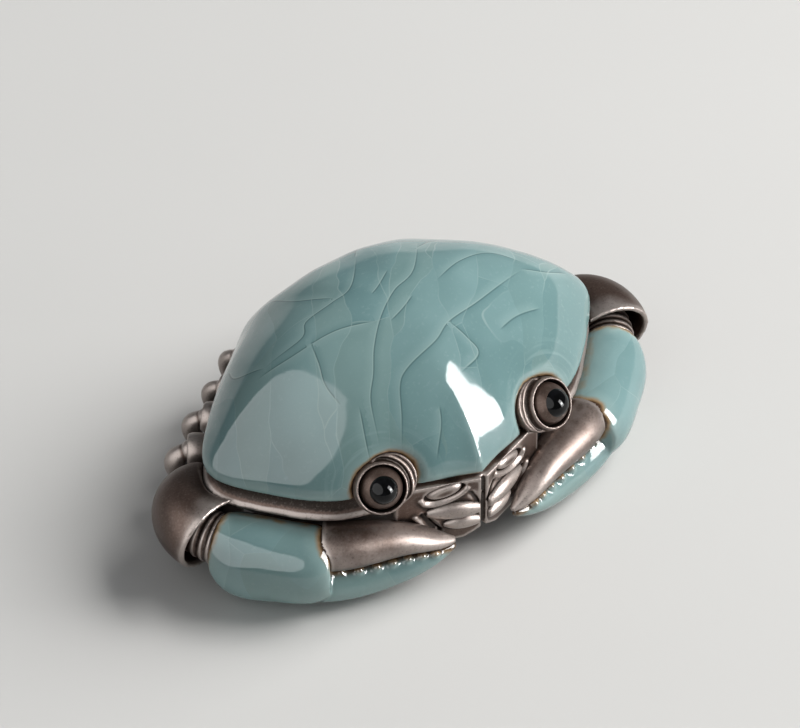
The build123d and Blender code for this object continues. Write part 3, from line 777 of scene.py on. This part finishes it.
for node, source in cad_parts.items():
    stem = stem_of(node)
    if stem in KEPT:
        source.data.materials.clear()
        source.data.materials.append(black if stem == "pupil" else eye_clay)
        continue
    piece = reworked(node)
    mesh = piece.data
    if stem == "carapace":
        raise_lobes(mesh, distances_to(points_of(mesh), clay_nodes))
        note_cracks(mesh)
    if stem in CARVING:
        carve(mesh, CARVING[stem])
    keep_in_box(mesh)
    note_ridges(mesh, node)
    if stem in GLAZED:
        write_attribute(mesh, "edge", np.minimum(distances_to(points_of(mesh), clay_nodes), EDGE_REACH))
        if stem == "claw_palm":
            note_tip(mesh)
            note_bite(mesh, node.replace("palm", "finger"))
        finish_piece(piece, shell_glaze if stem == "carapace" else claw_glaze)
    else:
        finish_piece(piece, eye_clay if stem == "eye_socket" else clay)


# Studio, in metres

FLOOR_HALF = 2.4
FLOOR_CELLS = 8
FLOOR_ROUGH = 0.75
STAIN_WAVES = 9
FLOOR_PALE = (0.60, 0.59, 0.57, 1)
FLOOR_WORN = (0.56, 0.55, 0.53, 1)
ROOM_COLOUR = (0.9, 0.95, 1.0, 1)
ROOM_GLOW = 0.18
LENS_START = 0.01
LAMP_DISTANCE = 1.4

# Lamps: name, view azimuth and elevation in degrees, width, height, glow, seen in reflections, shape
LAMPS = (
    ("key_light", 75, 42, 1.0, 1.0, 10.5, False, "RECTANGLE"),
    ("fill_light", -70, 50, 1.2, 1.2, 0.4, False, "RECTANGLE"),
    ("left_panel", -87, 34, 2.9, 2.1, 1.8, True, "ELLIPSE"),
    ("window_panel", 35, 23, 0.54, 1.31, 17.0, True, "RECTANGLE"),
    ("window_glint", 35, 20, 0.38, 0.38, 45.0, True, "RECTANGLE"),
)


def make_floor():
    """A wide pale floor."""
    build = bmesh.new()
    bmesh.ops.create_grid(build, x_segments=FLOOR_CELLS, y_segments=FLOOR_CELLS, size=FLOOR_HALF)
    mesh = bpy.data.meshes.new("floor")
    build.to_mesh(mesh)
    build.free()
    floor = bpy.data.objects.new("floor", mesh)
    bpy.context.scene.collection.objects.link(floor)
    material, tree, where, shader = new_material("pale_floor")
    stain = noise(tree, where, STAIN_WAVES, HIGH_DETAIL).outputs["Fac"]
    colour = mix(tree, stain, FLOOR_PALE, FLOOR_WORN)
    set_inputs(tree, shader, {"Base Color": colour, "Roughness": FLOOR_ROUGH})
    mesh.materials.append(material)


def direction(azimuth, elevation):
    """Direction from the object at a view azimuth and an elevation, in degrees."""
    turn, tilt = math.radians(azimuth), math.radians(elevation)
    level = math.cos(tilt)
    return Vector((math.sin(turn) * level, -math.cos(turn) * level, math.sin(tilt)))


def softbox(name, azimuth, elevation, width, height, glow, mirrored, shape):
    """An area lamp that faces the object, seen either in reflections or as plain light."""
    lamp = bpy.data.lights.new(name, "AREA")
    lamp.shape = shape
    lamp.size = width
    lamp.size_y = height
    lamp.energy = glow * width * height * math.pi
    holder = bpy.data.objects.new(name, lamp)
    out = direction(azimuth, elevation)
    holder.location = VIEW_TARGET + out * LAMP_DISTANCE
    holder.rotation_euler = out.to_track_quat("Z", "Y").to_euler()
    holder.visible_glossy = mirrored
    holder.visible_diffuse = not mirrored
    holder.visible_camera = False
    bpy.context.scene.collection.objects.link(holder)


def make_camera():
    """The photograph's camera."""
    back = direction(math.degrees(VIEW_AZIMUTH), math.degrees(VIEW_ELEVATION))
    right = Vector((math.cos(VIEW_AZIMUTH), math.sin(VIEW_AZIMUTH), 0))
    up = back.cross(right)
    place = VIEW_TARGET + back * VIEW_DISTANCE - right * VIEW_LEFT + up * VIEW_RAISE
    lens = bpy.data.cameras.new("camera")
    lens.lens = LENS
    lens.sensor_width = SENSOR
    lens.clip_start = LENS_START
    camera = bpy.data.objects.new("camera", lens)
    camera.matrix_world = Matrix.Translation(place) @ Matrix((right, up, back)).transposed().to_4x4()
    bpy.context.scene.collection.objects.link(camera)
    bpy.context.scene.camera = camera


def make_world():
    """A dim grey room."""
    world = bpy.data.worlds.new("room")
    world.use_nodes = True
    sky = world.node_tree.nodes["Background"]
    sky.inputs["Color"].default_value = ROOM_COLOUR
    sky.inputs["Strength"].default_value = ROOM_GLOW
    bpy.context.scene.world = world


make_floor()
make_world()
for lamp_row in LAMPS:
    softbox(*lamp_row)
make_camera()
bpy.context.scene.view_settings.view_transform = "Standard"
